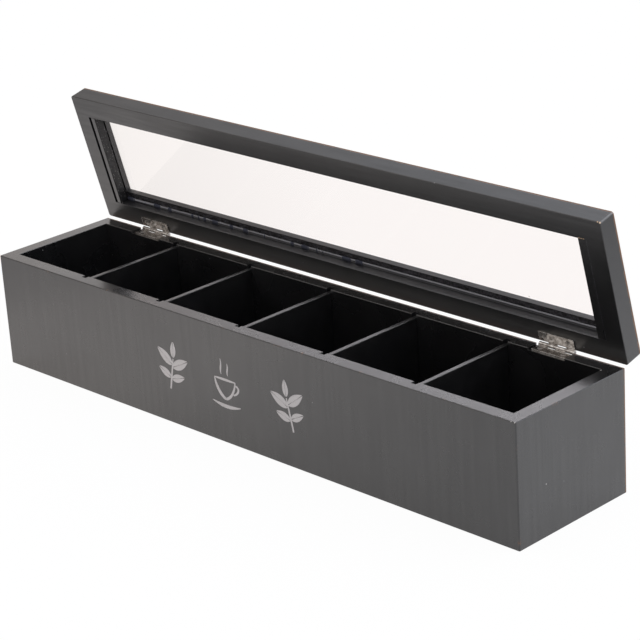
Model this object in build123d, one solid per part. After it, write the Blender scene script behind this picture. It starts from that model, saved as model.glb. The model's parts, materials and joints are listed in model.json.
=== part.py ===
from build123d import *
import os

# Tea bag organizer box: a long box of black-lacquered MDF with six compartments and a
# glazed lid that turns on two small butt hinges. Millimetres. The origin is the centre of
# the underside, +X runs along the length, the front faces -Y and +Z is up. The lid is
# built closed, then turned about the hinge axis to the angle it stands open at.

# --- box body ------------------------------------------------------------------------
BOX_LENGTH = 430.0
BOX_DEPTH = 90.0
BOX_HEIGHT = 73.6
WALL = 9.0
CORNER_R = 0.8  # upright outer corners
RIM_R = 0.5  # outer arris of the rim and of the lid
ARRIS_R = 0.4  # inner arris of the rim, and the foot
DOWEL_D = 5.0
DOWEL_IN_WALL = 6.0  # depth in the front and back walls
DOWEL_IN_END = 14.0  # depth in the end walls
DOWEL_EDGE = 18.0  # from the rim, and from the foot

# --- bottom panel and its brads ----------------------------------------------------------
PANEL_T = 3.0
PANEL_SEAT = 5.0  # width of the rabbet that the panel lies in
PANEL_GAP = 0.2
BRAD_D = 1.2
BRAD_LENGTH = 15.0
BRAD_HEAD_D = 2.4
BRAD_HEAD_T = 0.6
BRAD_END_SPACING = 36.0  # between the two brads under each end wall

# --- dividers ------------------------------------------------------------------------
COMPARTMENTS = 6
DIVIDER_T = 3.0
DIVIDER_DROP = 2.0  # top edge below the rim
SLOT_DEPTH = 3.0
SLOT_GAP = 0.3  # around the divider in its slots

# --- lid frame, glass and beads --------------------------------------------------------
LID_T = 11.8
LID_CORNER_R = 1.6
LID_OPEN = 75.9  # degrees from closed, at rest
LID_OVERHANG = 0.6  # past each end of the box
FRONT_RAIL_FACE = 13.3  # outer edge to the rabbet wall
BACK_RAIL_FACE = 13.0
STILE_FACE = 12.2
LEDGE = 5.2  # from the rabbet wall to the window, all round
LIP_T = 3.8  # what the rabbet leaves over the glass
WINDOW_R = 0.5  # eased edge of the window, on the outside
GLASS_T = 2.0
GLASS_GAP = 0.5
BEAD_W = 3.6
BEAD_FROM_STILE = 2.0  # the right bead is wider and lies against its stile
BEAD_GAP = 0.1
OPEN_JOINT = 0.6  # the right bead's joint with the stile, where it isn't filled
OPEN_JOINT_LENGTH = 6.5
SEALANT = 1.6  # legs of the bead of sealant along each rail
LID_DOWEL_D = 4.0
LID_DOWEL_IN_RAIL = 10.0
LID_DOWEL_IN_STILE = 12.0

# --- butt hinges and screws --------------------------------------------------------------
HINGE_LENGTH = 25.0
HINGE_INSET = 47.6  # end of the box to the middle of the hinge
KNUCKLES = 4
KNUCKLE_D = 2.4
KNUCKLE_GAP = 0.12
LEAF_T = 0.7
LEAF_REACH = 7.9  # hinge axis to the leaf's free edge
LEAF_CORNER_R = 0.6
NOTCH = 0.7  # from a knuckle to the other leaf's edge
PIN_D = 1.1
PIN_PLAY = 0.05
PIN_PROUD = 0.3
AXIS_BEHIND = 0.9  # hinge axis behind the back face
MORTISE_DEPTH = 1.6
MORTISE_PLAY = 0.7
MORTISE_R = 1.5  # rounded corners of the rim beside the mortise
SCREW_D = 2.0
SCREW_LENGTH = 8.0
SCREW_HEAD_D = 3.5
SCREW_HEAD_RISE = 0.35
SCREW_TIP = 1.6  # length of the point
SCREW_TIP_D = 0.2
SCREW_SPACING = 16.3
SCREW_FROM_AXIS = 4.7
CROSS_W = 0.45
CROSS_LENGTH = 2.0
CROSS_DEPTH = 0.6

# --- worked out from the sizes above -------------------------------------------------------
HALF_LENGTH = BOX_LENGTH / 2
HALF_DEPTH = BOX_DEPTH / 2
INNER_X = HALF_LENGTH - WALL
INNER_Y = HALF_DEPTH - WALL
KNUCKLE_R = KNUCKLE_D / 2
AXIS_Y = HALF_DEPTH + AXIS_BEHIND
AXIS_Z = BOX_HEIGHT - MORTISE_DEPTH + KNUCKLE_R  # the box leaf lies on the mortise floor
LID_Z = AXIS_Z + KNUCKLE_R  # the lid leaf lies flat on the lid's underside
GLASS_Z = LID_Z + LID_T - LIP_T - GLASS_T
LID_HALF_LENGTH = HALF_LENGTH + LID_OVERHANG
RABBET_X = LID_HALF_LENGTH - STILE_FACE
RABBET_FRONT = FRONT_RAIL_FACE - HALF_DEPTH
RABBET_BACK = HALF_DEPTH - BACK_RAIL_FACE
WINDOW_X = RABBET_X - LEDGE
WINDOW_FRONT = RABBET_FRONT + LEDGE
WINDOW_BACK = RABBET_BACK - LEDGE
BEAD_X = RABBET_X - BEAD_FROM_STILE - BEAD_W  # inner side of the bead
PITCH = (2 * INNER_X + DIVIDER_T) / COMPARTMENTS
DIVIDER_XS = [PITCH * (n - COMPARTMENTS / 2) for n in range(1, COMPARTMENTS)]
COMPARTMENT_XS = [PITCH * (n + 0.5 - COMPARTMENTS / 2) for n in range(COMPARTMENTS)]
HINGE_X = HALF_LENGTH - HINGE_INSET
HINGE_AXIS = Axis((0, AXIS_Y, AXIS_Z), (-1, 0, 0))
SIDES = {"left": -1, "right": 1}
BIG = 2 * BOX_LENGTH
PAST = 1.0  # how far a cutter reaches past what it cuts


def block(x0, x1, y0, y1, z0, z1):
    """A box given by its two ends along each axis."""
    centre = Pos((x0 + x1) / 2, (y0 + y1) / 2, (z0 + z1) / 2)
    return centre * Box(abs(x1 - x0), abs(y1 - y0), abs(z1 - z0))


def rod_y(x, y0, y1, z, diameter):
    """A round rod along Y, such as a dowel."""
    return Pos(x, (y0 + y1) / 2, z) * Rot(90, 0, 0) * Cylinder(diameter / 2, abs(y1 - y0))


def solids(shapes):
    """Several separate solids kept in one node."""
    return Compound(children=[s for shape in shapes for s in shape.solids()])


def slab(half_length, z0, z1, corner_r):
    """The outer block of the box or the lid, with its corners and arrises rounded."""
    outer = block(-half_length, half_length, -HALF_DEPTH, HALF_DEPTH, z0, z1)
    outer = fillet(outer.edges().filter_by(Axis.Z), corner_r)
    outer = fillet(outer.edges().group_by(Axis.Z)[-1], RIM_R)
    return fillet(outer.edges().group_by(Axis.Z)[0], ARRIS_R)


def edges_round(shape, x, front, back, z):
    """The level edges at height z of an opening with its ends at +-x."""
    def on_opening(edge):
        at = edge.center()
        beside = min(abs(abs(at.X) - x), abs(at.Y - front), abs(at.Y - back)) < 0.01
        return beside and abs(at.Z - z) < 0.01
    return shape.edges().filter_by(on_opening)


# --- screws ------------------------------------------------------------------------------
def screw():
    """Raised countersunk wood screw. Its head is level with Z = 0 and it points down."""
    head = Pos(0, 0, -LEAF_T / 2) * Cone(SCREW_D / 2, SCREW_HEAD_D / 2, LEAF_T)
    dome_r = (SCREW_HEAD_D**2 / 4 + SCREW_HEAD_RISE**2) / (2 * SCREW_HEAD_RISE)
    dome = Pos(0, 0, SCREW_HEAD_RISE - dome_r) * Sphere(dome_r)
    dome &= Pos(0, 0, SCREW_HEAD_RISE / 2) * Cylinder(SCREW_HEAD_D / 2, SCREW_HEAD_RISE)
    shank_length = SCREW_LENGTH - LEAF_T - SCREW_TIP
    shank = Pos(0, 0, -LEAF_T - shank_length / 2) * Cylinder(SCREW_D / 2, shank_length)
    tip_z = -LEAF_T - shank_length - SCREW_TIP / 2
    tip = Pos(0, 0, tip_z) * Cone(SCREW_TIP_D / 2, SCREW_D / 2, SCREW_TIP)
    cross_z = SCREW_HEAD_RISE - CROSS_DEPTH / 2
    cross = Pos(0, 0, cross_z) * Box(CROSS_LENGTH, CROSS_W, CROSS_DEPTH)
    cross += Pos(0, 0, cross_z) * Box(CROSS_W, CROSS_LENGTH, CROSS_DEPTH)
    return head + dome + shank + tip - cross


def screw_hole():
    """What a screw takes out of the leaf and of the wood: the screw without its cross."""
    hole = Pos(0, 0, -LEAF_T / 2) * Cone(SCREW_D / 2, SCREW_HEAD_D / 2, LEAF_T)
    shank_length = SCREW_LENGTH - LEAF_T
    return hole + Pos(0, 0, -LEAF_T - shank_length / 2) * Cylinder(SCREW_D / 2, shank_length)


def screw_places(leaf):
    """Where the screws of one kind of leaf go, on both hinges, with the lid closed."""
    face_z = AXIS_Z - KNUCKLE_R + LEAF_T if leaf == "box" else LID_Z - LEAF_T
    turn = Rot(0, 0, 0) if leaf == "box" else Rot(180, 0, 0)
    xs = [side * HINGE_X + end * SCREW_SPACING / 2 for side in (-1, 1) for end in (-1, 1)]
    return [Pos(x, AXIS_Y - SCREW_FROM_AXIS, face_z) * turn for x in xs]


# --- hinges ------------------------------------------------------------------------------
def hinge_leaf(leaf, hinge_x):
    """One stamped leaf: a plate rolled into every second knuckle, from the left end on."""
    first = 0 if leaf == "box" else 1
    pitch = HINGE_LENGTH / KNUCKLES
    left = hinge_x - HINGE_LENGTH / 2
    low = AXIS_Z - KNUCKLE_R if leaf == "box" else LID_Z - LEAF_T
    free_y, notch_y = AXIS_Y - LEAF_REACH, AXIS_Y - KNUCKLE_R - NOTCH
    plate = block(left, left + HINGE_LENGTH, free_y, AXIS_Y, low, low + LEAF_T)
    plate = fillet(plate.edges().filter_by(Axis.Z).group_by(Axis.Y)[0], LEAF_CORNER_R)
    for n in range(1 - first, KNUCKLES, 2):
        x0 = left + n * pitch
        plate -= block(x0, x0 + pitch, notch_y, AXIS_Y + PAST, low - PAST, low + LEAF_T + PAST)
    for n in range(first, KNUCKLES, 2):
        middle = Pos(left + (n + 0.5) * pitch, AXIS_Y, AXIS_Z)
        plate += middle * Rot(0, 90, 0) * Cylinder(KNUCKLE_R, pitch - KNUCKLE_GAP)
    bore_d = PIN_D if leaf == "box" else PIN_D + 2 * PIN_PLAY
    bore = Pos(hinge_x, AXIS_Y, AXIS_Z) * Rot(0, 90, 0) * Cylinder(bore_d / 2, BIG)
    plate -= bore
    for place in screw_places(leaf):
        plate -= place * screw_hole()
    return plate


def hinge_pin(hinge_x):
    """Wire pin, held by the box leaf's knuckles, with both ends rounded over."""
    pin = Rot(0, 90, 0) * Cylinder(PIN_D / 2, HINGE_LENGTH + 2 * PIN_PROUD)
    pin = fillet(pin.edges().filter_by(GeomType.CIRCLE), PIN_PROUD)
    return Pos(hinge_x, AXIS_Y, AXIS_Z) * pin


def mortise(hinge_x):
    """The cut in the rim for a box leaf, right through the wall, with rounded corners."""
    x0 = hinge_x - HINGE_LENGTH / 2 - MORTISE_PLAY
    x1 = hinge_x + HINGE_LENGTH / 2 + MORTISE_PLAY
    low, high = BOX_HEIGHT - MORTISE_DEPTH, BOX_HEIGHT + PAST
    cut = block(x0, x1, INNER_Y - PAST, HALF_DEPTH + PAST, low, high)
    for x, way in ((x0, -1), (x1, 1)):
        round_x, round_y = x + way * MORTISE_R, HALF_DEPTH - MORTISE_R
        corner = block(x, round_x, round_y, HALF_DEPTH + PAST, low, high)
        middle = Pos(round_x, round_y, (low + high) / 2)
        cut += corner - middle * Cylinder(MORTISE_R, high - low)
    return cut


# --- box body ----------------------------------------------------------------------------
def dividers():
    """Thin boards that drop into the slots and stand on the bottom panel."""
    reach = INNER_Y + SLOT_DEPTH - SLOT_GAP
    top = BOX_HEIGHT - DIVIDER_DROP
    made = {}
    for n, x in enumerate(DIVIDER_XS, 1):
        board = block(x - DIVIDER_T / 2, x + DIVIDER_T / 2, -reach, reach, PANEL_T, top)
        made[f"divider_{n}"] = fillet(board.edges().group_by(Axis.Z)[-1], ARRIS_R)
    return made


def brads():
    """Flat-headed brads that hold the bottom panel: one a compartment, two an end wall."""
    along = INNER_Y + PANEL_SEAT / 2
    across = INNER_X + PANEL_SEAT / 2
    places = [(x, way * along) for x in COMPARTMENT_XS for way in (-1, 1)]
    places += [(way * across, end * BRAD_END_SPACING / 2) for way in (-1, 1) for end in (-1, 1)]
    head = Pos(0, 0, BRAD_HEAD_T / 2) * Cylinder(BRAD_HEAD_D / 2, BRAD_HEAD_T)
    shank = Pos(0, 0, BRAD_LENGTH / 2) * Cylinder(BRAD_D / 2, BRAD_LENGTH)
    return [Pos(x, y, 0) * (head + shank) for x, y in places]


def corner_dowels():
    """Two dowels in each corner, across the joint of the end walls with the long walls."""
    made = []
    for x in (-INNER_X - WALL / 2, INNER_X + WALL / 2):
        for way in (-1, 1):
            for z in (DOWEL_EDGE, BOX_HEIGHT - DOWEL_EDGE):
                y0, y1 = way * (INNER_Y - DOWEL_IN_END), way * (INNER_Y + DOWEL_IN_WALL)
                made.append(rod_y(x, y0, y1, z, DOWEL_D))
    return made


def box_body():
    """The four walls, cut from one rounded block so that their faces run on, and fittings."""
    body = slab(HALF_LENGTH, 0, BOX_HEIGHT, CORNER_R)
    body -= block(-INNER_X, INNER_X, -INNER_Y, INNER_Y, -PAST, BOX_HEIGHT + PAST)
    body = fillet(edges_round(body, INNER_X, -INNER_Y, INNER_Y, BOX_HEIGHT), ARRIS_R)
    seat_x, seat_y = INNER_X + PANEL_SEAT, INNER_Y + PANEL_SEAT
    body -= block(-seat_x, seat_x, -seat_y, seat_y, -PAST, PANEL_T)
    half_slot, reach = DIVIDER_T / 2 + SLOT_GAP, INNER_Y + SLOT_DEPTH
    for x in DIVIDER_XS:
        body -= block(x - half_slot, x + half_slot, -reach, reach, PANEL_T, BOX_HEIGHT + PAST)
    for side in SIDES.values():
        body -= mortise(side * HINGE_X)
    for place in screw_places("box"):
        body -= place * screw_hole()
    for dowel in corner_dowels():
        body -= dowel

    panel_x, panel_y = seat_x - PANEL_GAP, seat_y - PANEL_GAP
    panel = block(-panel_x, panel_x, -panel_y, panel_y, 0, PANEL_T)
    for brad in brads():
        body -= brad
        panel -= brad

    made = {
        "front_wall": body & block(-BIG, BIG, -BIG, -INNER_Y, -PAST, BIG),
        "back_wall": body & block(-BIG, BIG, INNER_Y, BIG, -PAST, BIG),
        "left_end_wall": body & block(-BIG, -INNER_X, -INNER_Y, INNER_Y, -PAST, BIG),
        "right_end_wall": body & block(INNER_X, BIG, -INNER_Y, INNER_Y, -PAST, BIG),
        "bottom_panel": panel,
        "corner_dowels": solids(corner_dowels()),
        "bottom_brads": solids(brads()),
        "box_leaf_screws": solids([place * screw() for place in screw_places("box")]),
    }
    for name, side in SIDES.items():
        made[f"{name}_hinge_box_leaf"] = hinge_leaf("box", side * HINGE_X)
        made[f"{name}_hinge_pin"] = hinge_pin(side * HINGE_X)
    return made | dividers()


# --- lid, closed -------------------------------------------------------------------------
def lid_dowels():
    """One dowel in each corner of the lid frame, across the joint of rail and stile."""
    z = LID_Z + LID_T / 2
    made = []
    for x in (STILE_FACE / 2 - LID_HALF_LENGTH, LID_HALF_LENGTH - STILE_FACE / 2):
        for joint, outwards in ((WINDOW_FRONT, -1), (WINDOW_BACK, 1)):
            in_stile = joint - outwards * LID_DOWEL_IN_STILE
            in_rail = joint + outwards * LID_DOWEL_IN_RAIL
            made.append(rod_y(x, in_stile, in_rail, z, LID_DOWEL_D))
    return made


def sealant(wall_y, inwards):
    """A three-cornered bead of sealant between the glass and one rail's rabbet wall."""
    x = BEAD_X - BEAD_GAP
    with BuildPart() as bead:
        with BuildSketch(Plane.YZ.offset(-x)):
            corner = (wall_y, GLASS_Z)
            along = (wall_y + inwards * SEALANT, GLASS_Z)
            down = (wall_y, GLASS_Z - SEALANT)
            Polygon(corner, along, down, align=None)
        extrude(amount=2 * x)
    return bead.part


def lid():
    """Rails and stiles rabbeted for the pane, which beads and sealant hold to the lip."""
    top = LID_Z + LID_T
    frame = slab(LID_HALF_LENGTH, LID_Z, top, LID_CORNER_R)
    frame -= block(-WINDOW_X, WINDOW_X, WINDOW_FRONT, WINDOW_BACK, LID_Z - PAST, top + PAST)
    frame = fillet(edges_round(frame, WINDOW_X, WINDOW_FRONT, WINDOW_BACK, top), WINDOW_R)
    frame -= block(-RABBET_X, RABBET_X, RABBET_FRONT, RABBET_BACK, LID_Z - PAST, top - LIP_T)
    for place in screw_places("lid"):
        frame -= place * screw_hole()
    for dowel in lid_dowels():
        frame -= dowel

    glass_x = RABBET_X - GLASS_GAP
    glass_y0, glass_y1 = RABBET_FRONT + GLASS_GAP, RABBET_BACK - GLASS_GAP
    made = {
        "lid_front_rail": frame & block(-BIG, BIG, -BIG, WINDOW_FRONT, 0, BIG),
        "lid_back_rail": frame & block(-BIG, BIG, WINDOW_BACK, BIG, 0, BIG),
        "lid_left_stile": frame & block(-BIG, -WINDOW_X, WINDOW_FRONT, WINDOW_BACK, 0, BIG),
        "lid_right_stile": frame & block(WINDOW_X, BIG, WINDOW_FRONT, WINDOW_BACK, 0, BIG),
        "lid_corner_dowels": solids(lid_dowels()),
        "glass_pane": block(-glass_x, glass_x, glass_y0, glass_y1, GLASS_Z, GLASS_Z + GLASS_T),
        "glass_sealant": solids([sealant(RABBET_FRONT, 1), sealant(RABBET_BACK, -1)]),
        "lid_leaf_screws": solids([place * screw() for place in screw_places("lid")]),
    }
    bead_y0, bead_y1 = RABBET_FRONT + BEAD_GAP, RABBET_BACK - BEAD_GAP
    bead = block(-BEAD_X - BEAD_W, -BEAD_X, bead_y0, bead_y1, LID_Z, GLASS_Z)
    made["left_glass_bead"] = fillet(bead.edges().group_by(Axis.Z)[0], ARRIS_R)
    bead = block(BEAD_X, RABBET_X, bead_y0, bead_y1, LID_Z, GLASS_Z)
    bead = fillet(bead.edges().group_by(Axis.Z)[0].sort_by(Axis.X)[0], ARRIS_R)
    open_x, open_y = RABBET_X - OPEN_JOINT, bead_y1 - OPEN_JOINT_LENGTH
    bead -= block(open_x, RABBET_X + PAST, open_y, bead_y1 + PAST, LID_Z - PAST, GLASS_Z + PAST)
    made["right_glass_bead"] = bead
    for name, side in SIDES.items():
        made[f"{name}_hinge_lid_leaf"] = hinge_leaf("lid", side * HINGE_X)
    return made


nodes = box_body()
for name, shape in lid().items():
    nodes[name] = shape.rotate(HINGE_AXIS, LID_OPEN)

os.makedirs("parts", exist_ok=True)
for name, shape in nodes.items():
    export_step(shape, f"parts/{name}.step")
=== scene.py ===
"""Black-lacquered tea box with a glazed lid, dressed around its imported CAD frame."""

import json
import math

import bmesh
import bpy
from mathutils import Matrix, Vector, noise


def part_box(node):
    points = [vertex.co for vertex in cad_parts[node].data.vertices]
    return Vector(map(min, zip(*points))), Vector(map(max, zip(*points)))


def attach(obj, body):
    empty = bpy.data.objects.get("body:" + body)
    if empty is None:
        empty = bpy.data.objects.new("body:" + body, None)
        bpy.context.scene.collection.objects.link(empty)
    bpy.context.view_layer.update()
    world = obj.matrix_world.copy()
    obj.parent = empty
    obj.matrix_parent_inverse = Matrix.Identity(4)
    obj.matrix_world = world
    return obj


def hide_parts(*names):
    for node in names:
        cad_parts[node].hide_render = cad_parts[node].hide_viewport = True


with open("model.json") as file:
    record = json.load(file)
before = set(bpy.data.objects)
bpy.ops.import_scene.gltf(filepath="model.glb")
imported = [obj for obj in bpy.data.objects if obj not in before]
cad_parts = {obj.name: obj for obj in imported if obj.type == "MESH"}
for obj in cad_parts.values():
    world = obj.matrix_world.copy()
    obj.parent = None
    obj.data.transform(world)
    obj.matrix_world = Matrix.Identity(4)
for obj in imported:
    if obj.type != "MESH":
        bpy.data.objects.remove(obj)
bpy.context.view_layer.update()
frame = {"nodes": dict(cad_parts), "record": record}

# --- Box walls ---------------------------------------------------------------------------
# Four 9 mm MDF boards, doweled and glued at the corners, filled, primed and sprayed as one
# shell with satin black lacquer. The edges are eased with sandpaper, and the outer ones are
# rubbed through to the brown board in a few places.
MM = 0.001
PER_M = 1000.0
WALLS = ("front_wall", "back_wall", "left_end_wall", "right_end_wall")
HALF_LENGTH_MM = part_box("front_wall")[1].x * PER_M
HALF_DEPTH_MM = -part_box("front_wall")[0].y * PER_M
BOX_TOP_MM = 73.6

COMMON_IOR = 1.5  # of lacquer, wood, ink and laminate
NOISE_SPAN = (0.3, 0.7)  # where nearly all of a noise lies
NOISE_CORE = (0.35, 0.65)  # where most of it lies
CLOUDED = (0.35, 0.7)  # where clouds start and are full

LACQUER_BLACK = "#131314"
LACQUER_GREY = "#1a1a1b"  # where the coat is thin over the primer
CLOUD_MM = 22.0
BOX_GLOSS = (0.28, 0.16)  # the roughness of the lacquer and of its clear skin
SMEAR_MM = 30.0
SMEAR_ROUGHNESS = (-0.05, 0.06)  # what smears add to the roughness, from and to
PEEL_MM = 1.3  # orange peel, drawn a little coarser than the real 0.5 mm
PEEL_HEIGHT_MM = 0.01
# The marks of the sanding before the last coat: their length along x, y and z in mm, and
# how much of the clear skin is left on them.
BOX_SANDING = ((2.2, 2.2, 60.0), 0.85)
SANDING_SHARE = 1.2  # how deep the marks are, in heights of the peel
BARE_DEPTH = 4.0  # how deep a bare place is, in heights of the peel

FLECK_GREY = "#8d8d8d"
FLECKS_APART_MM = 16.0
FLECK_SHARES = (0.022, 0.012)  # where a fleck ends and is full, in shares of that distance
# A paler bluish grey painted on the level faces inside the lid's rabbets: painted light.
RABBET_PAINTED_LIGHT_GREY = "#55555c"
GRIT_MM = 0.9
RECESS_BLUR_MM = 0.1
LEVEL = (0.6, 0.9)  # from where a face counts as level

RUBBED_BOARD = "#6a4a32"
RUB_MM = 9.0
RUBBED_AT = (0.6, 0.72)
MORE_RUBBED = 0.27  # what handling adds
WORN_MM = 1.4  # how far from an arris it is rubbed
WORN_BLUR_MM = 0.15
BARE_AT = (0.2, 0.8)
BACK_HANDLED = ((0, 1, 0), 43.0)  # the box is rubbed most past y = 43 mm
# Also the colour of the painted highlight listed among the box's chips.
CHIPPED_PRIMER_AND_GLINT = "#b4b1ae"
CHIP_RAGS_PER_MM = 1.6
CHIP_RADII = (1.5, 1.2)  # where a chip ends and is full
PALE_STREAK_MM = (0.25, 0.75)  # how far from its corner the pale streak is full and ends
PALE_STREAK_SHARE = 0.55
PALE_STREAK_PATCHY_AT = (0.35, 0.6)
LEAST_PALE = 0.3
# Chips seen on the box, the last of them a painted highlight: x, y, z and radius, all in mm.
BOX_CHIPS_AND_GLINT = (
    (211.8, -44.8, 73.4, 0.35),
    (214.2, -44.8, 73.4, 0.4),
    (215, -22.3, 30.6, 0.35),
    # The last is no chip: a painted highlight in the primer colour, at the rim's inner back right
    # corner.
    (206.5, 34.8, 73.6, 0.6),
)


def linear(hex_colour):
    """The linear RGBA of an sRGB hex colour."""
    channels = [int(hex_colour[i : i + 2], 16) / 255 for i in (1, 3, 5)]
    return [c / 12.92 if c <= 0.04045 else ((c + 0.055) / 1.055) ** 2.4 for c in channels] + [1.0]


def add(tree, kind, inputs=(), **settings):
    """Add a node with its settings, and give each input a value or the link it names."""
    made = tree.nodes.new("ShaderNode" + kind)
    for name, value in settings.items():
        setattr(made, name, value)
    for key, value in dict(inputs).items():
        if isinstance(value, bpy.types.NodeSocket):
            tree.links.new(value, made.inputs[key])
        else:
            made.inputs[key].default_value = value
    return made


def new_finish(name, **constants):
    """A material with one Principled shader that has these constants on its own sockets."""
    finish = bpy.data.materials.new(name)
    finish.use_nodes = True
    shader = finish.node_tree.nodes["Principled BSDF"]
    for key, value in constants.items():
        shader.inputs[key.replace("_", " ")].default_value = value
    return finish, finish.node_tree, shader


def paint(nodes, finish):
    """Give CAD nodes a finish through their material slots."""
    for name in nodes:
        shown = frame["nodes"][name]
        if not shown.data.materials:
            shown.data.materials.append(finish)
        for place in shown.material_slots:
            place.material = finish


def millimetres(tree, turn=None):
    """Object coordinates and normals in mm, turned to where the piece is on the shut box."""
    turn = turn or Matrix.Identity(4)
    euler = turn.to_euler()
    place = add(tree, "TexCoord")
    at = add(
        tree,
        "Mapping",
        {
            "Vector": place.outputs["Object"],
            "Location": turn.translation * PER_M,
            "Rotation": euler,
            "Scale": (PER_M,) * 3,
        },
    )
    facing = add(
        tree,
        "Mapping",
        {"Vector": place.outputs["Normal"], "Rotation": euler},
        vector_type="VECTOR",
    )
    return at.outputs[0], facing.outputs[0]


def maths(tree, operation, *values):
    """What a Math node makes of values and links."""
    return add(tree, "Math", dict(enumerate(values)), operation=operation).outputs[0]


def vector_maths(tree, operation, *values):
    """What a Vector Math node makes of them: a number for DISTANCE and DOT_PRODUCT."""
    made = add(tree, "VectorMath", dict(enumerate(values)), operation=operation)
    return made.outputs["Value" if operation in ("DISTANCE", "DOT_PRODUCT") else "Vector"]


def ramp(tree, value, low, high, out_low=0.0, out_high=1.0):
    """value taken from low..high to out_low..out_high, and held there."""
    spans = {"From Min": low, "From Max": high, "To Min": out_low, "To Max": out_high}
    return add(tree, "MapRange", {"Value": value, **spans}).outputs[0]


def tint(tree, share, under, over):
    """Two colours mixed by a share."""
    mixed = add(tree, "Mix", {0: share, 6: under, 7: over}, data_type="RGBA")
    return mixed.outputs[2]


def rabbet_painted_light(tree, at, facing, recess):
    """Painted light on the level faces inside a recess, broken up by a gritty noise."""
    far_x, front_y, back_y, top_z = recess
    across = vector_maths(tree, "SUBTRACT", at, (0, (front_y + back_y) / 2, 0))
    across = vector_maths(tree, "ABSOLUTE", across)
    past = vector_maths(tree, "SUBTRACT", across, (far_x, (back_y - front_y) / 2, top_z))
    past_x, past_y, past_z = add(tree, "SeparateXYZ", {0: past}).outputs
    past = maths(tree, "MAXIMUM", maths(tree, "MAXIMUM", past_x, past_y), past_z)
    rabbet_light = ramp(tree, past, -RECESS_BLUR_MM, RECESS_BLUR_MM, 1.0, 0.0)
    grit = add(tree, "TexNoise", {"Vector": at, "Scale": 1 / GRIT_MM, "Detail": 3.0}).outputs[0]
    rabbet_light = maths(tree, "MULTIPLY", rabbet_light, ramp(tree, grit, *NOISE_CORE))
    level = add(tree, "SeparateXYZ", {0: vector_maths(tree, "ABSOLUTE", facing)}).outputs[2]
    return maths(tree, "MULTIPLY", rabbet_light, ramp(tree, level, *LEVEL))


def near_arris(tree, at, top):
    """1 within reach of an outer arris: the middle one of the distances to the faces counts."""
    left = vector_maths(
        tree, "SUBTRACT", (HALF_LENGTH_MM, HALF_DEPTH_MM, top), vector_maths(tree, "ABSOLUTE", at)
    )
    to_end, to_side, to_top = add(tree, "SeparateXYZ", {0: left}).outputs
    nearer = maths(tree, "MINIMUM", to_end, to_side)
    farther = maths(tree, "MINIMUM", maths(tree, "MAXIMUM", to_end, to_side), to_top)
    to_arris = maths(tree, "MAXIMUM", nearer, farther)
    return ramp(tree, to_arris, WORN_MM + WORN_BLUR_MM, WORN_MM - WORN_BLUR_MM)


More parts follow.
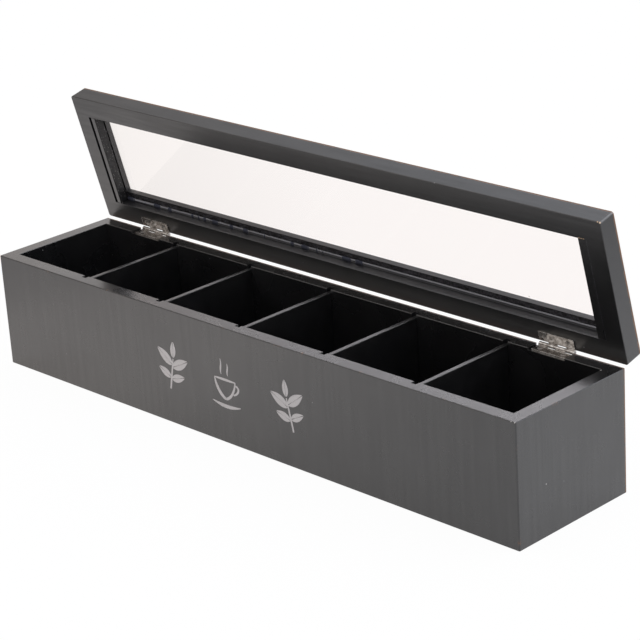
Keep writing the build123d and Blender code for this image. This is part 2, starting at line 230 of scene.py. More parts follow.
def black_lacquer(
    name, gloss, sanding, chips_and_glints, chip_and_glint_colour, handled, top, turn=None, recess=None, pale_corner=None
):
    """Sprayed satin lacquer: orange peel, thin places, flecks, rubbed edges, chips and a pale
    streak, with painted light in a recess and painted highlights.

    gloss is the roughness of the lacquer and of its clear skin, and sanding the lengths of the
    sanding marks and the skin left on them. The chips lay their colour bare; a painted highlight
    listed among them is a dot of the same colour. handled is the direction and the reach in mm
    beyond which the edges are rubbed most, top the z of the upper arris, turn the way from the
    piece to the shut box, recess the x, the two ys and the z of the painted light on its level
    faces, and the last the x and y of a corner with a patchy paler grey streak on its arris.
    """
    finish, tree, shader = new_finish(
        name, IOR=COMMON_IOR, Coat_Weight=1.0, Coat_IOR=COMMON_IOR, Coat_Roughness=gloss[1]
    )
    at, facing = millimetres(tree, turn)

    clouds = add(tree, "TexNoise", {"Vector": at, "Scale": 1 / CLOUD_MM, "Detail": 4.0})
    cloudy = ramp(tree, clouds.outputs[0], *CLOUDED)
    colour = tint(tree, cloudy, linear(LACQUER_BLACK), linear(LACQUER_GREY))
    # The level faces in the recess get a paler grey as painted light.
    if recess:
        rabbet_light = rabbet_painted_light(tree, at, facing, recess)
        colour = tint(tree, rabbet_light, colour, linear(RABBET_PAINTED_LIGHT_GREY))
    dust = add(tree, "TexVoronoi", {"Vector": at, "Scale": 1 / FLECKS_APART_MM})
    fleck = ramp(tree, dust.outputs["Distance"], *FLECK_SHARES)
    colour = tint(tree, fleck, colour, linear(FLECK_GREY))

    rub = add(
        tree, "TexNoise", {"Vector": at, "Scale": 1 / RUB_MM, "Detail": 6.0, "Roughness": 0.7}
    )
    towards, reach = handled
    there = vector_maths(tree, "DOT_PRODUCT", at, towards)
    more = ramp(tree, there, reach, reach + 1.0, 0.0, MORE_RUBBED)
    rub = maths(tree, "ADD", rub.outputs[0], more)
    bare = maths(tree, "MULTIPLY", near_arris(tree, at, top), ramp(tree, rub, *RUBBED_AT))
    colour = tint(tree, bare, colour, linear(RUBBED_BOARD))

    ragged = add(tree, "TexNoise", {"Vector": at, "Scale": CHIP_RAGS_PER_MM, "Detail": 3.0})
    # Chips, and a painted highlight where one is listed with them, in their colour and without the
    # skin.
    for x, y, z, radius in chips_and_glints:
        away = vector_maths(tree, "DISTANCE", at, (x, y, z))
        torn = maths(tree, "MULTIPLY_ADD", ragged.outputs[0], radius, away)
        chip_and_glint = ramp(tree, torn, *(radii * radius for radii in CHIP_RADII))
        colour = tint(tree, chip_and_glint, colour, linear(chip_and_glint_colour))
        bare = maths(tree, "MAXIMUM", bare, chip_and_glint)
    # A patchy paler grey streak along the arris at one corner.
    if pale_corner:
        flat = vector_maths(tree, "MULTIPLY", at, (1, 1, 0))
        away = vector_maths(tree, "DISTANCE", flat, (*pale_corner, 0))
        pale_streak = ramp(tree, away, *PALE_STREAK_MM, PALE_STREAK_SHARE, 0.0)
        patchy = ramp(tree, rub, *PALE_STREAK_PATCHY_AT, LEAST_PALE, 1.0)
        pale_streak = maths(tree, "MULTIPLY", pale_streak, patchy)
        colour = tint(tree, pale_streak, colour, linear(FLECK_GREY))
    tree.links.new(colour, shader.inputs["Base Color"])

    lengths, skin_left = sanding
    streaks = add(tree, "Mapping", {"Vector": at, "Scale": [1 / length for length in lengths]})
    marks = add(tree, "TexNoise", {"Vector": streaks.outputs[0], "Scale": 1.0}).outputs[0]
    skin = ramp(tree, marks, *NOISE_CORE, skin_left, 1.0)
    skin = maths(tree, "MULTIPLY", skin, ramp(tree, bare, *BARE_AT, 1.0, 0.0))
    tree.links.new(skin, shader.inputs["Coat Weight"])

    smears = add(
        tree, "TexNoise", {"Vector": at, "Scale": 1 / SMEAR_MM, "Detail": 5.0, "Distortion": 0.6}
    )
    rough = ramp(
        tree, smears.outputs[0], *NOISE_SPAN, *(gloss[0] + smear for smear in SMEAR_ROUGHNESS)
    )
    tree.links.new(rough, shader.inputs["Roughness"])

    peel = add(tree, "TexNoise", {"Vector": at, "Scale": 1 / PEEL_MM, "Detail": 2.0})
    relief = maths(tree, "MULTIPLY_ADD", marks, SANDING_SHARE, peel.outputs[0])
    relief = maths(tree, "MULTIPLY_ADD", bare, -BARE_DEPTH, relief)
    heights = {"Height": relief, "Distance": PEEL_HEIGHT_MM * MM, "Strength": 1.0}
    bump = add(tree, "Bump", heights)
    tree.links.new(bump.outputs[0], shader.inputs["Normal"])
    tree.links.new(bump.outputs[0], shader.inputs["Coat Normal"])
    return finish


box_lacquer = black_lacquer(
    "satin_black_lacquer_on_mdf",
    BOX_GLOSS,
    BOX_SANDING,
    BOX_CHIPS_AND_GLINT,
    CHIPPED_PRIMER_AND_GLINT,
    BACK_HANDLED,
    BOX_TOP_MM,
)
paint(WALLS, box_lacquer)

# --- Bottom panel and dividers -----------------------------------------------------------
# 3 mm hardboard, sprayed black with a single thin coat that stays more matt than the walls
# and lets the pressed board's fine, fibrous surface show.
THIN_BOARD_BLACK = "#0a0a0b"
THIN_BOARD_GREY = "#111112"
THIN_BOARD_ROUGHNESS = (0.36, 0.46)
MOTTLE_MM = 7.0
FIBRE_MM = 0.8
FIBRE_HEIGHT_MM = 0.012

thin_board, tree, shader = new_finish(
    "single_coat_black_on_hardboard",
    IOR=COMMON_IOR,
    Coat_Weight=1.0,
    Coat_IOR=COMMON_IOR,
    Coat_Roughness=0.2,
)
at = millimetres(tree)[0]
mottle = add(tree, "TexNoise", {"Vector": at, "Scale": 1 / MOTTLE_MM, "Detail": 5.0}).outputs[0]
thin_colour = tint(
    tree, ramp(tree, mottle, *CLOUDED), linear(THIN_BOARD_BLACK), linear(THIN_BOARD_GREY)
)
tree.links.new(thin_colour, shader.inputs["Base Color"])
rough = ramp(tree, mottle, *NOISE_SPAN, *THIN_BOARD_ROUGHNESS)
tree.links.new(rough, shader.inputs["Roughness"])
fibres = add(
    tree, "TexNoise", {"Vector": at, "Scale": 1 / FIBRE_MM, "Detail": 4.0, "Distortion": 1.2}
)
relief = add(tree, "Bump", {"Height": fibres.outputs[0], "Distance": FIBRE_HEIGHT_MM * MM})
tree.links.new(relief.outputs[0], shader.inputs["Normal"])
paint(["bottom_panel"] + [f"divider_{number}" for number in range(1, 6)], thin_board)

# --- Dowels ------------------------------------------------------------------------------
# Turned beech pins, bare wood, glued into the corners of the box and of the lid. Beech is
# pale and pinkish, with short darker pores along the grain.
BEECH_PALE = "#d2ad82"
BEECH_PORE = "#a67b50"
PORE_MM = 0.35
PORE_LENGTH_MM = 4.0
PORE_DEPTH_MM = 0.03
PORES_AT = (0.5, 0.68)

beech, tree, shader = new_finish("bare_turned_beech", Roughness=0.62, IOR=COMMON_IOR)
grain = add(
    tree,
    "Mapping",
    {
        "Vector": millimetres(tree)[0],
        "Scale": (1 / PORE_MM, 1 / PORE_LENGTH_MM, 1 / PORE_MM),
    },
)
pores = add(tree, "TexNoise", {"Vector": grain.outputs[0], "Scale": 1.0, "Detail": 3.0}).outputs[0]
wood = tint(tree, ramp(tree, pores, *PORES_AT), linear(BEECH_PALE), linear(BEECH_PORE))
tree.links.new(wood, shader.inputs["Base Color"])
relief = add(tree, "Bump", {"Height": pores, "Distance": PORE_DEPTH_MM * MM})
tree.links.new(relief.outputs[0], shader.inputs["Normal"])
paint(("corner_dowels", "lid_corner_dowels"), beech)

# --- Brads -------------------------------------------------------------------------------
# Flat-headed nails of bare drawn steel that hold the bottom panel. Their heads have a dull
# grey skin with a few brown spots.
BRAD_GREY = "#8e8e90"
BRAD_BROWN = "#6d5c4e"
BRAD_ROUGHNESS = (0.38, 0.55)
SPOTS_PER_MM = 1.5
SPOTS_AT = (0.55, 0.75)

brad_steel, tree, shader = new_finish("bare_drawn_steel", Metallic=1.0)
at = millimetres(tree)[0]
spots = add(tree, "TexNoise", {"Vector": at, "Scale": SPOTS_PER_MM, "Detail": 4.0}).outputs[0]
steel = tint(tree, ramp(tree, spots, *SPOTS_AT), linear(BRAD_GREY), linear(BRAD_BROWN))
tree.links.new(steel, shader.inputs["Base Color"])
rough = ramp(tree, spots, *NOISE_SPAN, *BRAD_ROUGHNESS)
tree.links.new(rough, shader.inputs["Roughness"])
paint(["bottom_brads"], brad_steel)

# --- Hinges ------------------------------------------------------------------------------
# Small butt hinges stamped from 0.7 mm steel strip, rolled round a wire pin and plated with
# dull nickel, which is warm and greyer than chrome. Barrel polishing leaves fine scratches
# and rounds the stamped edges over, so that they catch the light as a thin outline.
NICKEL_WARM = "#c8c5c2"
NICKEL_DARK = "#928d88"
NICKEL_ROUGHNESS = (0.14, 0.3)
TARNISH_MM = 2.8
TARNISHED_AT = (0.42, 0.6)
SCRATCH_MM = 0.25
SCRATCH_LENGTH_MM = 5.0
SCRATCH_DEPTH_MM = 0.012
STAMPED_EDGE_MM = 0.3
HINGE_PARTS = ("box_leaf", "lid_leaf", "pin")

nickel, tree, shader = new_finish("dull_nickel_plate_on_stamped_steel", Metallic=1.0)
at = millimetres(tree)[0]
tarnish = add(
    tree, "TexNoise", {"Vector": at, "Scale": 1 / TARNISH_MM, "Detail": 5.0, "Roughness": 0.6}
)
tarnished = ramp(tree, tarnish.outputs[0], *TARNISHED_AT)
plate = tint(tree, tarnished, linear(NICKEL_WARM), linear(NICKEL_DARK))
tree.links.new(plate, shader.inputs["Base Color"])
strokes = (1 / SCRATCH_LENGTH_MM, 1 / SCRATCH_MM, 1 / SCRATCH_MM)
drawn_out = add(tree, "Mapping", {"Vector": at, "Scale": strokes}).outputs[0]
scratches = add(tree, "TexNoise", {"Vector": drawn_out, "Scale": 1.0, "Detail": 3.0}).outputs[0]
rough = ramp(tree, scratches, *NOISE_CORE, *NICKEL_ROUGHNESS)
tree.links.new(rough, shader.inputs["Roughness"])
rounded = add(tree, "Bevel", {"Radius": STAMPED_EDGE_MM * MM}, samples=6)
heights = {"Height": scratches, "Distance": SCRATCH_DEPTH_MM * MM, "Normal": rounded.outputs[0]}
relief = add(tree, "Bump", heights)
tree.links.new(relief.outputs[0], shader.inputs["Normal"])
paint([f"{side}_hinge_{part}" for side in ("left", "right") for part in HINGE_PARTS], nickel)

# --- Screws ------------------------------------------------------------------------------
# Small raised countersunk screws with bright zinc plate: nearly white, satin, with the
# slight ripple of a barrel-plated head.
ZINC_WHITE = "#d8d5d2"
ZINC_SHADE = "#aeaaa6"
ZINC_ROUGHNESS = (0.3, 0.42)
RIPPLES_PER_MM = 2.2
RIPPLE_HEIGHT_MM = 0.02
SHADED_AT = (0.4, 0.7)

zinc, tree, shader = new_finish("bright_zinc_plate", Metallic=1.0)
at = millimetres(tree)[0]
ripple = add(tree, "TexNoise", {"Vector": at, "Scale": RIPPLES_PER_MM, "Detail": 2.0}).outputs[0]
bright = tint(tree, ramp(tree, ripple, *SHADED_AT), linear(ZINC_WHITE), linear(ZINC_SHADE))
tree.links.new(bright, shader.inputs["Base Color"])
rough = ramp(tree, ripple, *NOISE_SPAN, *ZINC_ROUGHNESS)
tree.links.new(rough, shader.inputs["Roughness"])
relief = add(tree, "Bump", {"Height": ripple, "Distance": RIPPLE_HEIGHT_MM * MM})
tree.links.new(relief.outputs[0], shader.inputs["Normal"])
paint(("box_leaf_screws", "lid_leaf_screws"), zinc)

# --- Lid frame and glass beads -----------------------------------------------------------
# Rails and stiles of 12 mm MDF in the same lacquer as the box, and black strips beside the
# stiles on the glass. The lid stands open here, so its patterns are laid out as they lie on
# the shut lid.
LID_NODES = ("lid_front_rail", "lid_back_rail", "lid_left_stile", "lid_right_stile")
BEAD_NODES = ("left_glass_bead", "right_glass_bead")
CHIPPED_BOARD = "#c9ab8c"
# Chips seen on the lid, in mm on the shut lid.
LID_CHIPS = (
    (215.2, -44.8, 74.8, 0.8),
    (213.8, -44.9, 74.6, 0.5),
    (198.9, -31.7, 74.4, 0.6),
    (200.4, -31.7, 74.4, 0.65),
    (201.9, -31.7, 74.4, 0.5),
)
LID_PALE_CORNER = (215.3, -44.7)  # the near right corner, x and y
LID_GLOSS = (0.36, 0.27)  # the lid was not rubbed down as smooth as the box
LID_SANDING = ((45.0, 0.9, 0.9), 0.6)
LID_TOP_MM = 86.2
TOP_HANDLED = ((0, 0, 1), 84.2)  # the lid is rubbed most above z = 84.2 mm
# The rabbets and the ledge under the glass, whose level faces carry painted light: x, the two ys
# and z, in mm on the shut lid.
RABBETS = (203.6, -31.8, 32.1, 82.7)

lid_joint = frame["record"]["behaviour"]["joints"][0]
hinge_at = Vector(lid_joint["pos_m"])
opening = Matrix.Rotation(math.radians(lid_joint["range_deg"][0]), 4, "X")
open_lid = Matrix.Translation(hinge_at) @ opening @ Matrix.Translation(-hinge_at)
shut_lid = open_lid.inverted()
lid_lacquer = black_lacquer(
    "satin_black_lacquer_on_lid_mdf",
    LID_GLOSS,
    LID_SANDING,
    LID_CHIPS,
    CHIPPED_BOARD,
    TOP_HANDLED,
    LID_TOP_MM,
    shut_lid,
    RABBETS,
    LID_PALE_CORNER,
)
paint(LID_NODES, lid_lacquer)

# The strips are brushed, not sprayed: their sides are duller, with gritty specks, and painted
# darker than their faces as painted shade.
BEAD_SIDE_SHADE_BLACK = "#0a0a0b"
BEAD_SPECK = "#8d8a88"
BEAD_SIDE_ROUGHNESS = 0.55
BEAD_SIDE_SKIN = 0.35
SIDEWAYS = (0.3, 0.9)  # from where a face counts as a side
SPECK_MM = 1.5
SPECK_SHARES = (0.2, 0.1)
SPECK_RELIEF_MM = 0.06

bead_paint, tree, shader = new_finish(
    "brushed_black_on_beads", IOR=COMMON_IOR, Coat_IOR=COMMON_IOR, Coat_Roughness=0.2
)
at, facing = millimetres(tree, shut_lid)
sideways = maths(tree, "ABSOLUTE", add(tree, "SeparateXYZ", {0: facing}).outputs[0])
on_side = ramp(tree, sideways, *SIDEWAYS)
grit = add(tree, "TexVoronoi", {"Vector": at, "Scale": 1 / SPECK_MM}).outputs["Distance"]
speck = maths(tree, "MULTIPLY", ramp(tree, grit, *SPECK_SHARES), on_side)
# Sides painted darker than the faces: painted shade.
brushed_with_shaded_sides = tint(tree, on_side, linear(LACQUER_GREY), linear(BEAD_SIDE_SHADE_BLACK))
tree.links.new(tint(tree, speck, brushed_with_shaded_sides, linear(BEAD_SPECK)), shader.inputs["Base Color"])
tree.links.new(ramp(tree, on_side, 0.0, 1.0, 1.0, BEAD_SIDE_SKIN), shader.inputs["Coat Weight"])
rough = ramp(tree, on_side, 0.0, 1.0, LID_GLOSS[0], BEAD_SIDE_ROUGHNESS)
tree.links.new(rough, shader.inputs["Roughness"])
relief = add(tree, "Bump", {"Height": grit, "Distance": SPECK_RELIEF_MM * MM})
tree.links.new(relief.outputs[0], shader.inputs["Normal"])
paint(BEAD_NODES, bead_paint)

# --- Glass pane --------------------------------------------------------------------------
# 2 mm clear float glass, dropped into the rabbets from inside. It is smooth and colourless
# but for the warm cast of thin glass seen against white, with a few specks of dust, and it is
# tinted darker towards the left as painted shade.
GLASS_CAST = "#fffaf8"
GLASS_SHADED_LEFT = "#f6f1ee"
GLASS_IOR = 1.2  # below the real 1.5, for a pane that mirrors as little as in the photograph
GLASS_SPECULAR = 0.3
GLASS_DUST = "#c9bfba"
DUST_APART_MM = 24.0
DUST_SHARES = (0.022, 0.014)  # where a speck ends and is full, in shares of that distance

glass, tree, shader = new_finish(
    "clear_float_glass",
    Roughness=0.0,
    IOR=GLASS_IOR,
    Transmission_Weight=1.0,
    Specular_IOR_Level=GLASS_SPECULAR,
)
at = millimetres(tree, shut_lid)[0]
x = add(tree, "SeparateXYZ", {0: at}).outputs[0]
# Painted shade: the pane is tinted darker towards its left end.
rightwards = ramp(tree, x, -HALF_LENGTH_MM, 0.0)
cast = tint(tree, rightwards, linear(GLASS_SHADED_LEFT), linear(GLASS_CAST))
dust = add(tree, "TexVoronoi", {"Vector": at, "Scale": 1 / DUST_APART_MM}).outputs["Distance"]
dusty = tint(tree, ramp(tree, dust, *DUST_SHARES), cast, linear(GLASS_DUST))
tree.links.new(dusty, shader.inputs["Base Color"])
paint(["glass_pane"], glass)

# --- Sealant -----------------------------------------------------------------------------
# A hand-laid bead of black silicone between the glass and each rail. It is glossy and a
# little uneven, with dull places, so it catches the light as a broken line.
SEALANT_BLACK = "#101114"
SEALANT_SHEEN = "#d4dcff"
SEALANT_IOR = 1.9  # above the real 1.4, for dashes as bright as in the photograph
SEALANT_COAT_IOR = 2.2
SEALANT_ON_GLASS_MM = 2.6
SEALANT_ON_WALL_MM = 0.85
SEALANT_SIDES = 12
SEALANT_RINGS = 330
WAVE = 0.05
WAVE_LENGTH_MM = 5.0
SKIN_MM = 2.5
SKIN_RELIEF_MM = 0.04
DULL_LENGTH_MM = 9.0  # where a finger smoothed it, it is dull
EVEN_FROM_MM = 30.0  # and past here it was left as laid
EVEN_BLUR_MM = 5.0
DULL_AT = (0.53, 0.56)
DULL_ROUGHNESS = (0.12, 0.75)  # from glossy to dull

sealant_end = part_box("glass_sealant")[1].x * PER_M
sealant_mesh = frame["nodes"]["glass_sealant"].data
shut_sealant = [shut_lid @ vertex.co for vertex in sealant_mesh.vertices]
wall_ys = [most(point.y for point in shut_sealant) * PER_M for most in (min, max)]
corner_z = max(point.z for point in shut_sealant) * PER_M

beads = bmesh.new()
mesh = bpy.data.meshes.new("sealant_beads")
for way, wall_y in zip((-1, 1), wall_ys):
    bead = bmesh.new()
    bmesh.ops.create_cone(
        bead,
        cap_ends=True,
        segments=SEALANT_SIDES,
        radius1=1.0,
        radius2=1.0,
        depth=2 * sealant_end,
        matrix=Matrix.Rotation(math.pi / 2, 4, "Y"),
    )
    long_edges = [edge for edge in bead.edges if edge.calc_length() > sealant_end]
    bmesh.ops.subdivide_edges(bead, edges=long_edges, cuts=SEALANT_RINGS)
    for vertex in bead.verts:
        x = vertex.co.x
        swell = 1.0 + WAVE * noise.noise((x / WAVE_LENGTH_MM, 3.0 * way, 5.0))
        vertex.co.y = wall_y - way * max(vertex.co.y * SEALANT_ON_GLASS_MM * swell, 0.0)
        vertex.co.z = corner_z + min(vertex.co.z * SEALANT_ON_WALL_MM * swell, 0.0)
    bead.to_mesh(mesh)
    bead.free()
    beads.from_mesh(mesh)
bmesh.ops.recalc_face_normals(beads, faces=beads.faces)
for face in beads.faces:
    face.smooth = True
bmesh.ops.transform(beads, matrix=open_lid @ Matrix.Scale(MM, 4), verts=beads.verts)
beads.to_mesh(mesh)
beads.free()
sealant_beads = bpy.data.objects.new("sealant_beads", mesh)
bpy.context.scene.collection.objects.link(sealant_beads)

silicone, tree, shader = new_finish(
    "cured_black_silicone",
    IOR=SEALANT_IOR,
    Coat_Weight=1.0,
    Coat_IOR=SEALANT_COAT_IOR,
    Coat_Roughness=0.08,
    Specular_Tint=linear(SEALANT_SHEEN),
)
at = millimetres(tree, shut_lid)[0]
skin = add(tree, "TexNoise", {"Vector": at, "Scale": 1 / SKIN_MM, "Detail": 4.0}).outputs[0]
rubbery = tint(tree, skin, linear(SEALANT_BLACK), linear(LACQUER_GREY))
tree.links.new(rubbery, shader.inputs["Base Color"])
x = add(tree, "SeparateXYZ", {0: at}).outputs[0]
patches = add(
    tree,
    "TexNoise",
    {"W": x, "Scale": 1 / DULL_LENGTH_MM, "Detail": 2.0},
    noise_dimensions="1D",
)
smoothed = ramp(tree, x, EVEN_FROM_MM, EVEN_FROM_MM - EVEN_BLUR_MM)
dull = maths(tree, "MULTIPLY", ramp(tree, patches.outputs[0], *DULL_AT), smoothed)
tree.links.new(ramp(tree, dull, 0.0, 1.0, *DULL_ROUGHNESS), shader.inputs["Roughness"])
tree.links.new(ramp(tree, dull, 0.0, 1.0, 1.0, 0.0), shader.inputs["Coat Weight"])
relief = add(tree, "Bump", {"Height": skin, "Distance": SKIN_RELIEF_MM * MM})
tree.links.new(relief.outputs[0], shader.inputs["Normal"])
mesh.materials.append(silicone)
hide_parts("glass_sealant")
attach(sealant_beads, "lid")

# --- Front ornament ----------------------------------------------------------------------
# Three line ornaments, a leafy sprig on each side of a steaming cup, printed in silver ink
# through a stencil on the finished lacquer. The ink is thin, pale and only faintly metallic.
INK_SILVER = "#c4c2c3"
INK_SHADE = "#b0aeaf"
INK_ROUGHNESS = (0.45, 0.6)
FLAKES_PER_MM = 2.0
INK_THICKNESS_MM = 0.05
ORNAMENT_Z_MM = 38.0
SPRIG_LEFT_X_MM = -53.0
CUP_X_MM = -6.6
SPRIG_RIGHT_X_MM = 44.8
PEN_RADIUS_MM = 0.62  # of a stroke whose width is 1
STROKE_ROUNDNESS = 3
STROKE_STEPS = 8
STROKE_STEEPNESS = 3.0  # of its sides, which the ink's thickness cuts off
MIDRIB_MM = 0.45
LEAF_TIP_MM = 0.12
LEAF_FULLNESS = 0.8
LEAF_POINTS = (0.0, 0.14, 0.4, 0.7, 1.0)  # in shares of its length

silver_ink, tree, shader = new_finish("silver_stencil_ink", Metallic=0.55, IOR=COMMON_IOR)
at = millimetres(tree)[0]
flakes = add(tree, "TexNoise", {"Vector": at, "Scale": FLAKES_PER_MM, "Detail": 3.0}).outputs[0]
silver = tint(tree, flakes, linear(INK_SILVER), linear(INK_SHADE))
tree.links.new(silver, shader.inputs["Base Color"])
rough = ramp(tree, flakes, *NOISE_SPAN, *INK_ROUGHNESS)
tree.links.new(rough, shader.inputs["Roughness"])


def leaf(foot, tip, width):
    """The two halves of a leaf as strokes, with the midrib left bare between them."""
    foot, tip = Vector(foot), Vector(tip)
    along = tip - foot
    across = Vector((-along.y, along.x)).normalized()
    halves = []
    for side in (-1, 1):
        half = []
        for share in LEAF_POINTS:
            swell = LEAF_TIP_MM
            if 0 < share < 1:
                swell = width / 2 * math.sin(math.pi * share**LEAF_FULLNESS) ** LEAF_FULLNESS
            middle = foot + along * share + across * side * (swell + MIDRIB_MM) / 2
            half.append((middle.x, middle.y, swell))
        halves.append(half)
    return halves


# Each stroke is a run of x, z and width in mm, from the middle of its ornament.
SPRIG = [
    [(-3.6, -15.6, 1.1), (-2.4, -9.0, 1.3), (-0.6, -2.0, 1.1), (0.6, 4.6, 0.8)],
    *leaf((0.7, 5.4), (1.6, 15.7), 4.4),
    *leaf((-0.4, 0.6), (-12.6, 9.4), 6.4),
    *leaf((-0.2, -1.0), (13.4, 5.6), 6.6),
    *leaf((-2.4, -7.8), (-12.4, -3.0), 5.0),
    *leaf((-1.6, -8.8), (9.6, -5.6), 5.2),
]
CUP = [
    [(-9.4, 2.6, 0.7), (-8.6, -3.2, 2.2), (-4.8, -8.2, 2.4), (-0.6, -9.6, 1.4)],
    [(8.0, 2.6, 0.7), (7.2, -3.2, 1.4), (3.6, -8.2, 1.6), (-0.6, -9.6, 1.4)],
    [(-9.6, 2.7, 0.6), (-0.7, 2.0, 0.9), (8.2, 2.7, 0.6)],
    [(-9.6, 2.7, 0.6), (-0.7, 3.5, 0.8), (8.2, 2.7, 0.6)],
    [(7.7, 0.8, 0.9), (11.9, 0.9, 1.3), (11.4, -3.6, 1.5), (6.0, -5.6, 0.8)],
    [
        (-12.6, -12.6, 0.4),
        (-6.6, -14.0, 1.8),
        (-0.7, -14.4, 2.3),
        (5.2, -14.0, 1.8),
        (11.2, -12.6, 0.4),
    ],
    [(-3.4, 5.6, 0.3), (-4.7, 8.4, 1.3), (-2.3, 11.4, 1.3), (-3.5, 15.4, 0.3)],
    [(2.2, 5.6, 0.3), (0.9, 7.9, 1.2), (3.2, 10.4, 1.2), (2.1, 13.4, 0.3)],
]


def ornament(name, strokes, middle_x, mirror=1):
    """Print strokes on the front wall as one thin piece of ink."""
    pen = bpy.data.curves.new(name + "_pen", "CURVE")
    pen.dimensions = "3D"
    pen.bevel_depth = PEN_RADIUS_MM
    pen.bevel_resolution = STROKE_ROUNDNESS
    pen.use_fill_caps = True
    pen.resolution_u = STROKE_STEPS
    for stroke in strokes:
        line = pen.splines.new("NURBS")
        line.points.add(len(stroke) - 1)
        for point, (x, z, width) in zip(line.points, stroke):
            point.co = (mirror * x, 0.0, z, 1.0)
            point.radius = width
        line.order_u = 4 if len(stroke) > 3 else 3
        line.use_endpoint_u = True
    drawn = bpy.data.objects.new(name + "_pen", pen)
    bpy.context.scene.collection.objects.link(drawn)
    bpy.context.view_layer.update()
    inked = drawn.evaluated_get(bpy.context.evaluated_depsgraph_get())
    mesh = bpy.data.meshes.new_from_object(inked)
    bpy.data.objects.remove(drawn)
    mesh.name = name
    ink = bmesh.new()
    ink.from_mesh(mesh)
    bmesh.ops.remove_doubles(ink, verts=ink.verts, dist=0.001)
    for vertex in ink.verts:
        vertex.co.y = max(-1.0, min(1.0, STROKE_STEEPNESS * vertex.co.y)) * INK_THICKNESS_MM
        vertex.co = (Vector((middle_x, -HALF_DEPTH_MM, ORNAMENT_Z_MM)) + vertex.co) * MM
    bmesh.ops.recalc_face_normals(ink, faces=ink.faces)
    ink.to_mesh(mesh)
    ink.free()
    printed = bpy.data.objects.new(name, mesh)
    bpy.context.scene.collection.objects.link(printed)
    mesh.materials.clear()
    mesh.materials.append(silver_ink)
    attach(printed, "box")


ornament("ornament_left_sprig", SPRIG, SPRIG_LEFT_X_MM)
ornament("ornament_cup", CUP, CUP_X_MM)
ornament("ornament_right_sprig", SPRIG, SPRIG_RIGHT_X_MM, mirror=-1)

# --- Studio ------------------------------------------------------------------------------
# A white table and a white room, with one large soft lamp overhead. The camera sees both as
# plain white. The lacquer mirrors them with the photograph's fall of light: warmer to the
# left, cooler and brighter to the right, and the table fading with distance.
PLAIN_WHITE = (1, 1, 1, 1)
TABLE_WHITE = "#f4f4f4"
TABLE_SIZE_M = 12.0
TABLE_GAP_M = 0.00005
TABLE_GLOW = 0.96  # share of plain white in what is seen of the table
TABLE_GLOSS_GLOW = 0.6  # the same in a gloss, which so keeps the shadow
TABLE_MIDDLE_M = (0.07, 0.0, 0.0)
TABLE_FADE_FROM_M = 0.36
TABLE_FADE_TO_M = 0.64
TABLE_FADED = 0.3
# How bright the table is along x in m: the flash falls in front of the left half.
TABLE_LEVELS = (
    (-0.32, 0.72),
    (-0.26, 0.86),
    (-0.12, 1.0),
    (-0.02, 0.84),
    (0.05, 0.74),
    (0.14, 0.72),
    (0.26, 0.76),
)
TABLE_SPAN_M = 1.0  # what these levels cover
TABLE_FLASH = 1.18
WARM_WHITE = "#fff4ec"
COOL_WHITE = "#f6f8ff"
NEUTRAL_WHITE = "#faf9f9"
WARM_X_M = -0.35
NEUTRAL_X_M = 0.25
ROOM_SLOPE = (1.7, 1.7, 0.0)  # brighter behind and to the right
ROOM_LEVEL = 1.08
ROOM_DARKEST = 0.45
ROOM_BRIGHTEST = 1.28
ROOM_WINDOW = 0.45  # what a window behind and to the right adds
ROOM_WINDOW_AT = 0.45
ROOM_TINT_SLOPE = (1.7, 1.7, 1.5)  # cooler behind, to the right and overhead
ROOM_COOL_AT = 0.45
LAMP_WATTS = 9.0
LAMP_SIZE_M = 2.0
LAMP_AT = Vector((-0.65, -0.9, 1.5))

table_mesh = bmesh.new()
bmesh.ops.create_grid(
    table_mesh,
    x_segments=1,
    y_segments=1,
    size=TABLE_SIZE_M / 2,
    matrix=Matrix.Translation((0, 0, -TABLE_GAP_M)),
)
mesh = bpy.data.meshes.new("table_top")
table_mesh.to_mesh(mesh)
table_mesh.free()
table_top = bpy.data.objects.new("table_top", mesh)
bpy.context.scene.collection.objects.link(table_top)


def plainly_seen(tree):
    """1 for what the camera sees directly or through the glass, and 0 in a reflection."""
    path = add(tree, "LightPath").outputs
    looked = maths(tree, "MAXIMUM", path["Is Camera Ray"], path["Is Transmission Ray"])
    mirrored = {0: looked, 1: path["Glossy Depth"]}
    return add(tree, "Math", mirrored, operation="SUBTRACT", use_clamp=True).outputs[0]


white_laminate, tree, shader = new_finish(
    "matt_white_laminate", Roughness=0.7, IOR=COMMON_IOR, Base_Color=linear(TABLE_WHITE)
)
place = add(tree, "TexCoord").outputs["Object"]
seen = plainly_seen(tree)
x = add(tree, "SeparateXYZ", {0: place}).outputs[0]
rightwards = ramp(tree, x, WARM_X_M, NEUTRAL_X_M)
cast = tint(tree, rightwards, linear(WARM_WHITE), linear(NEUTRAL_WHITE))
away = vector_maths(tree, "DISTANCE", place, TABLE_MIDDLE_M)
fade = ramp(
    tree, away, TABLE_FADE_FROM_M, TABLE_FADE_TO_M, TABLE_FLASH, TABLE_FLASH * TABLE_FADED
)
flash = add(tree, "ValToRGB", {0: ramp(tree, x, -TABLE_SPAN_M / 2, TABLE_SPAN_M / 2)})
flash.color_ramp.interpolation = "EASE"
while len(flash.color_ramp.elements) < len(TABLE_LEVELS):
    flash.color_ramp.elements.new(0.5)
for stop, (stop_x, brightness) in zip(flash.color_ramp.elements, TABLE_LEVELS):
    stop.position = stop_x / TABLE_SPAN_M + 0.5
    stop.color = (brightness, brightness, brightness, 1)
fade = maths(tree, "MULTIPLY", fade, flash.outputs[0])
fade = add(tree, "Mix", {0: seen, 2: fade, 3: 1.0}, data_type="FLOAT").outputs[0]
shine = {"Color": tint(tree, seen, cast, PLAIN_WHITE), "Strength": fade}
glow = add(tree, "Emission", shine).outputs[0]
share = ramp(tree, seen, 0.0, 1.0, TABLE_GLOSS_GLOW, TABLE_GLOW)
surface = add(tree, "MixShader", {0: share, 1: shader.outputs[0], 2: glow})
tree.links.new(surface.outputs[0], tree.nodes["Material Output"].inputs["Surface"])
mesh.materials.append(white_laminate)

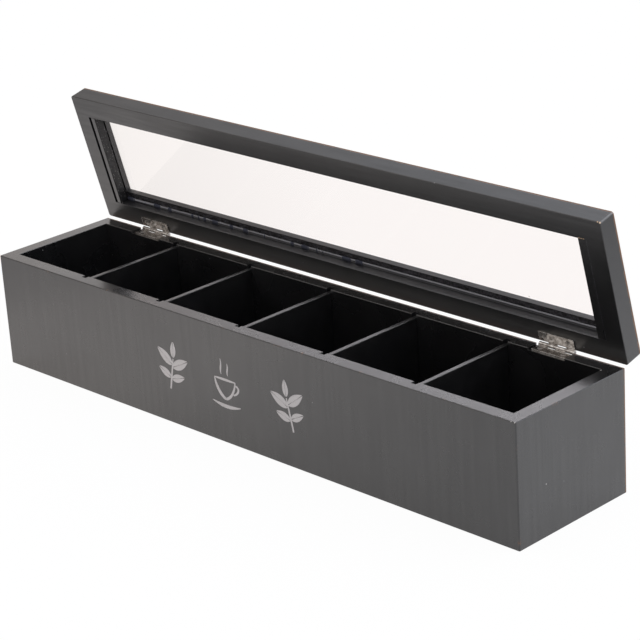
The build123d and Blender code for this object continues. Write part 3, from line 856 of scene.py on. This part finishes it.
room = bpy.data.worlds.new("white_room")
bpy.context.scene.world = room
room.use_nodes = True
tree = room.node_tree
direction = add(tree, "TexCoord").outputs["Generated"]
slope = vector_maths(tree, "DOT_PRODUCT", direction, ROOM_SLOPE)
fall = ramp(
    tree,
    slope,
    ROOM_DARKEST - ROOM_LEVEL,
    ROOM_BRIGHTEST - ROOM_LEVEL,
    ROOM_DARKEST,
    ROOM_BRIGHTEST,
)
fall = maths(tree, "ADD", fall, ramp(tree, slope, 0.0, ROOM_WINDOW_AT, 0.0, ROOM_WINDOW))
seen = plainly_seen(tree)
level = add(tree, "Mix", {0: seen, 2: fall, 3: 1.0}, data_type="FLOAT").outputs[0]
cool = ramp(tree, vector_maths(tree, "DOT_PRODUCT", direction, ROOM_TINT_SLOPE), 0.0, ROOM_COOL_AT)
cast = tint(tree, cool, linear(WARM_WHITE), linear(COOL_WHITE))
background = tree.nodes["Background"]
tree.links.new(tint(tree, seen, cast, PLAIN_WHITE), background.inputs["Color"])
tree.links.new(level, background.inputs["Strength"])

lamp = bpy.data.lights.new("overhead_softbox", "AREA")
lamp.shape = "DISK"
lamp.size = LAMP_SIZE_M
lamp.energy = LAMP_WATTS
softbox = bpy.data.objects.new("overhead_softbox", lamp)
softbox.location = LAMP_AT
softbox.rotation_euler = (-LAMP_AT).to_track_quat("-Z", "Y").to_euler()
bpy.context.scene.collection.objects.link(softbox)

# --- Camera ------------------------------------------------------------------------------
# The photograph was taken from the right-hand front corner, a little above the box, with
# a long lens held slightly off level.
CAMERA_AT_MM = Vector((916.18, -845.42, 549.57))
CAMERA_AZIMUTH = math.radians(46.391)
CAMERA_ELEVATION = math.radians(21.287)
CAMERA_ROLL = math.radians(-3.732)
CAMERA_LENS = 128.24
CAMERA_SENSOR = 36.0
CAMERA_CLIP_M = 0.01

back = Vector(
    (
        math.sin(CAMERA_AZIMUTH) * math.cos(CAMERA_ELEVATION),
        -math.cos(CAMERA_AZIMUTH) * math.cos(CAMERA_ELEVATION),
        math.sin(CAMERA_ELEVATION),
    )
)
right = Vector((0, 0, 1)).cross(back).normalized()
up = back.cross(right)
level_frame = Matrix((right, up, back)).transposed()
camera_data = bpy.data.cameras.new("camera")
camera_data.lens = CAMERA_LENS
camera_data.sensor_width = CAMERA_SENSOR
camera_data.clip_start = CAMERA_CLIP_M
camera = bpy.data.objects.new("camera", camera_data)
camera.matrix_world = Matrix.Translation(CAMERA_AT_MM * MM) @ (
    level_frame @ Matrix.Rotation(CAMERA_ROLL, 3, "Z")
).to_4x4()
bpy.context.scene.collection.objects.link(camera)
bpy.context.scene.camera = camera
bpy.context.scene.view_settings.view_transform = "Standard"
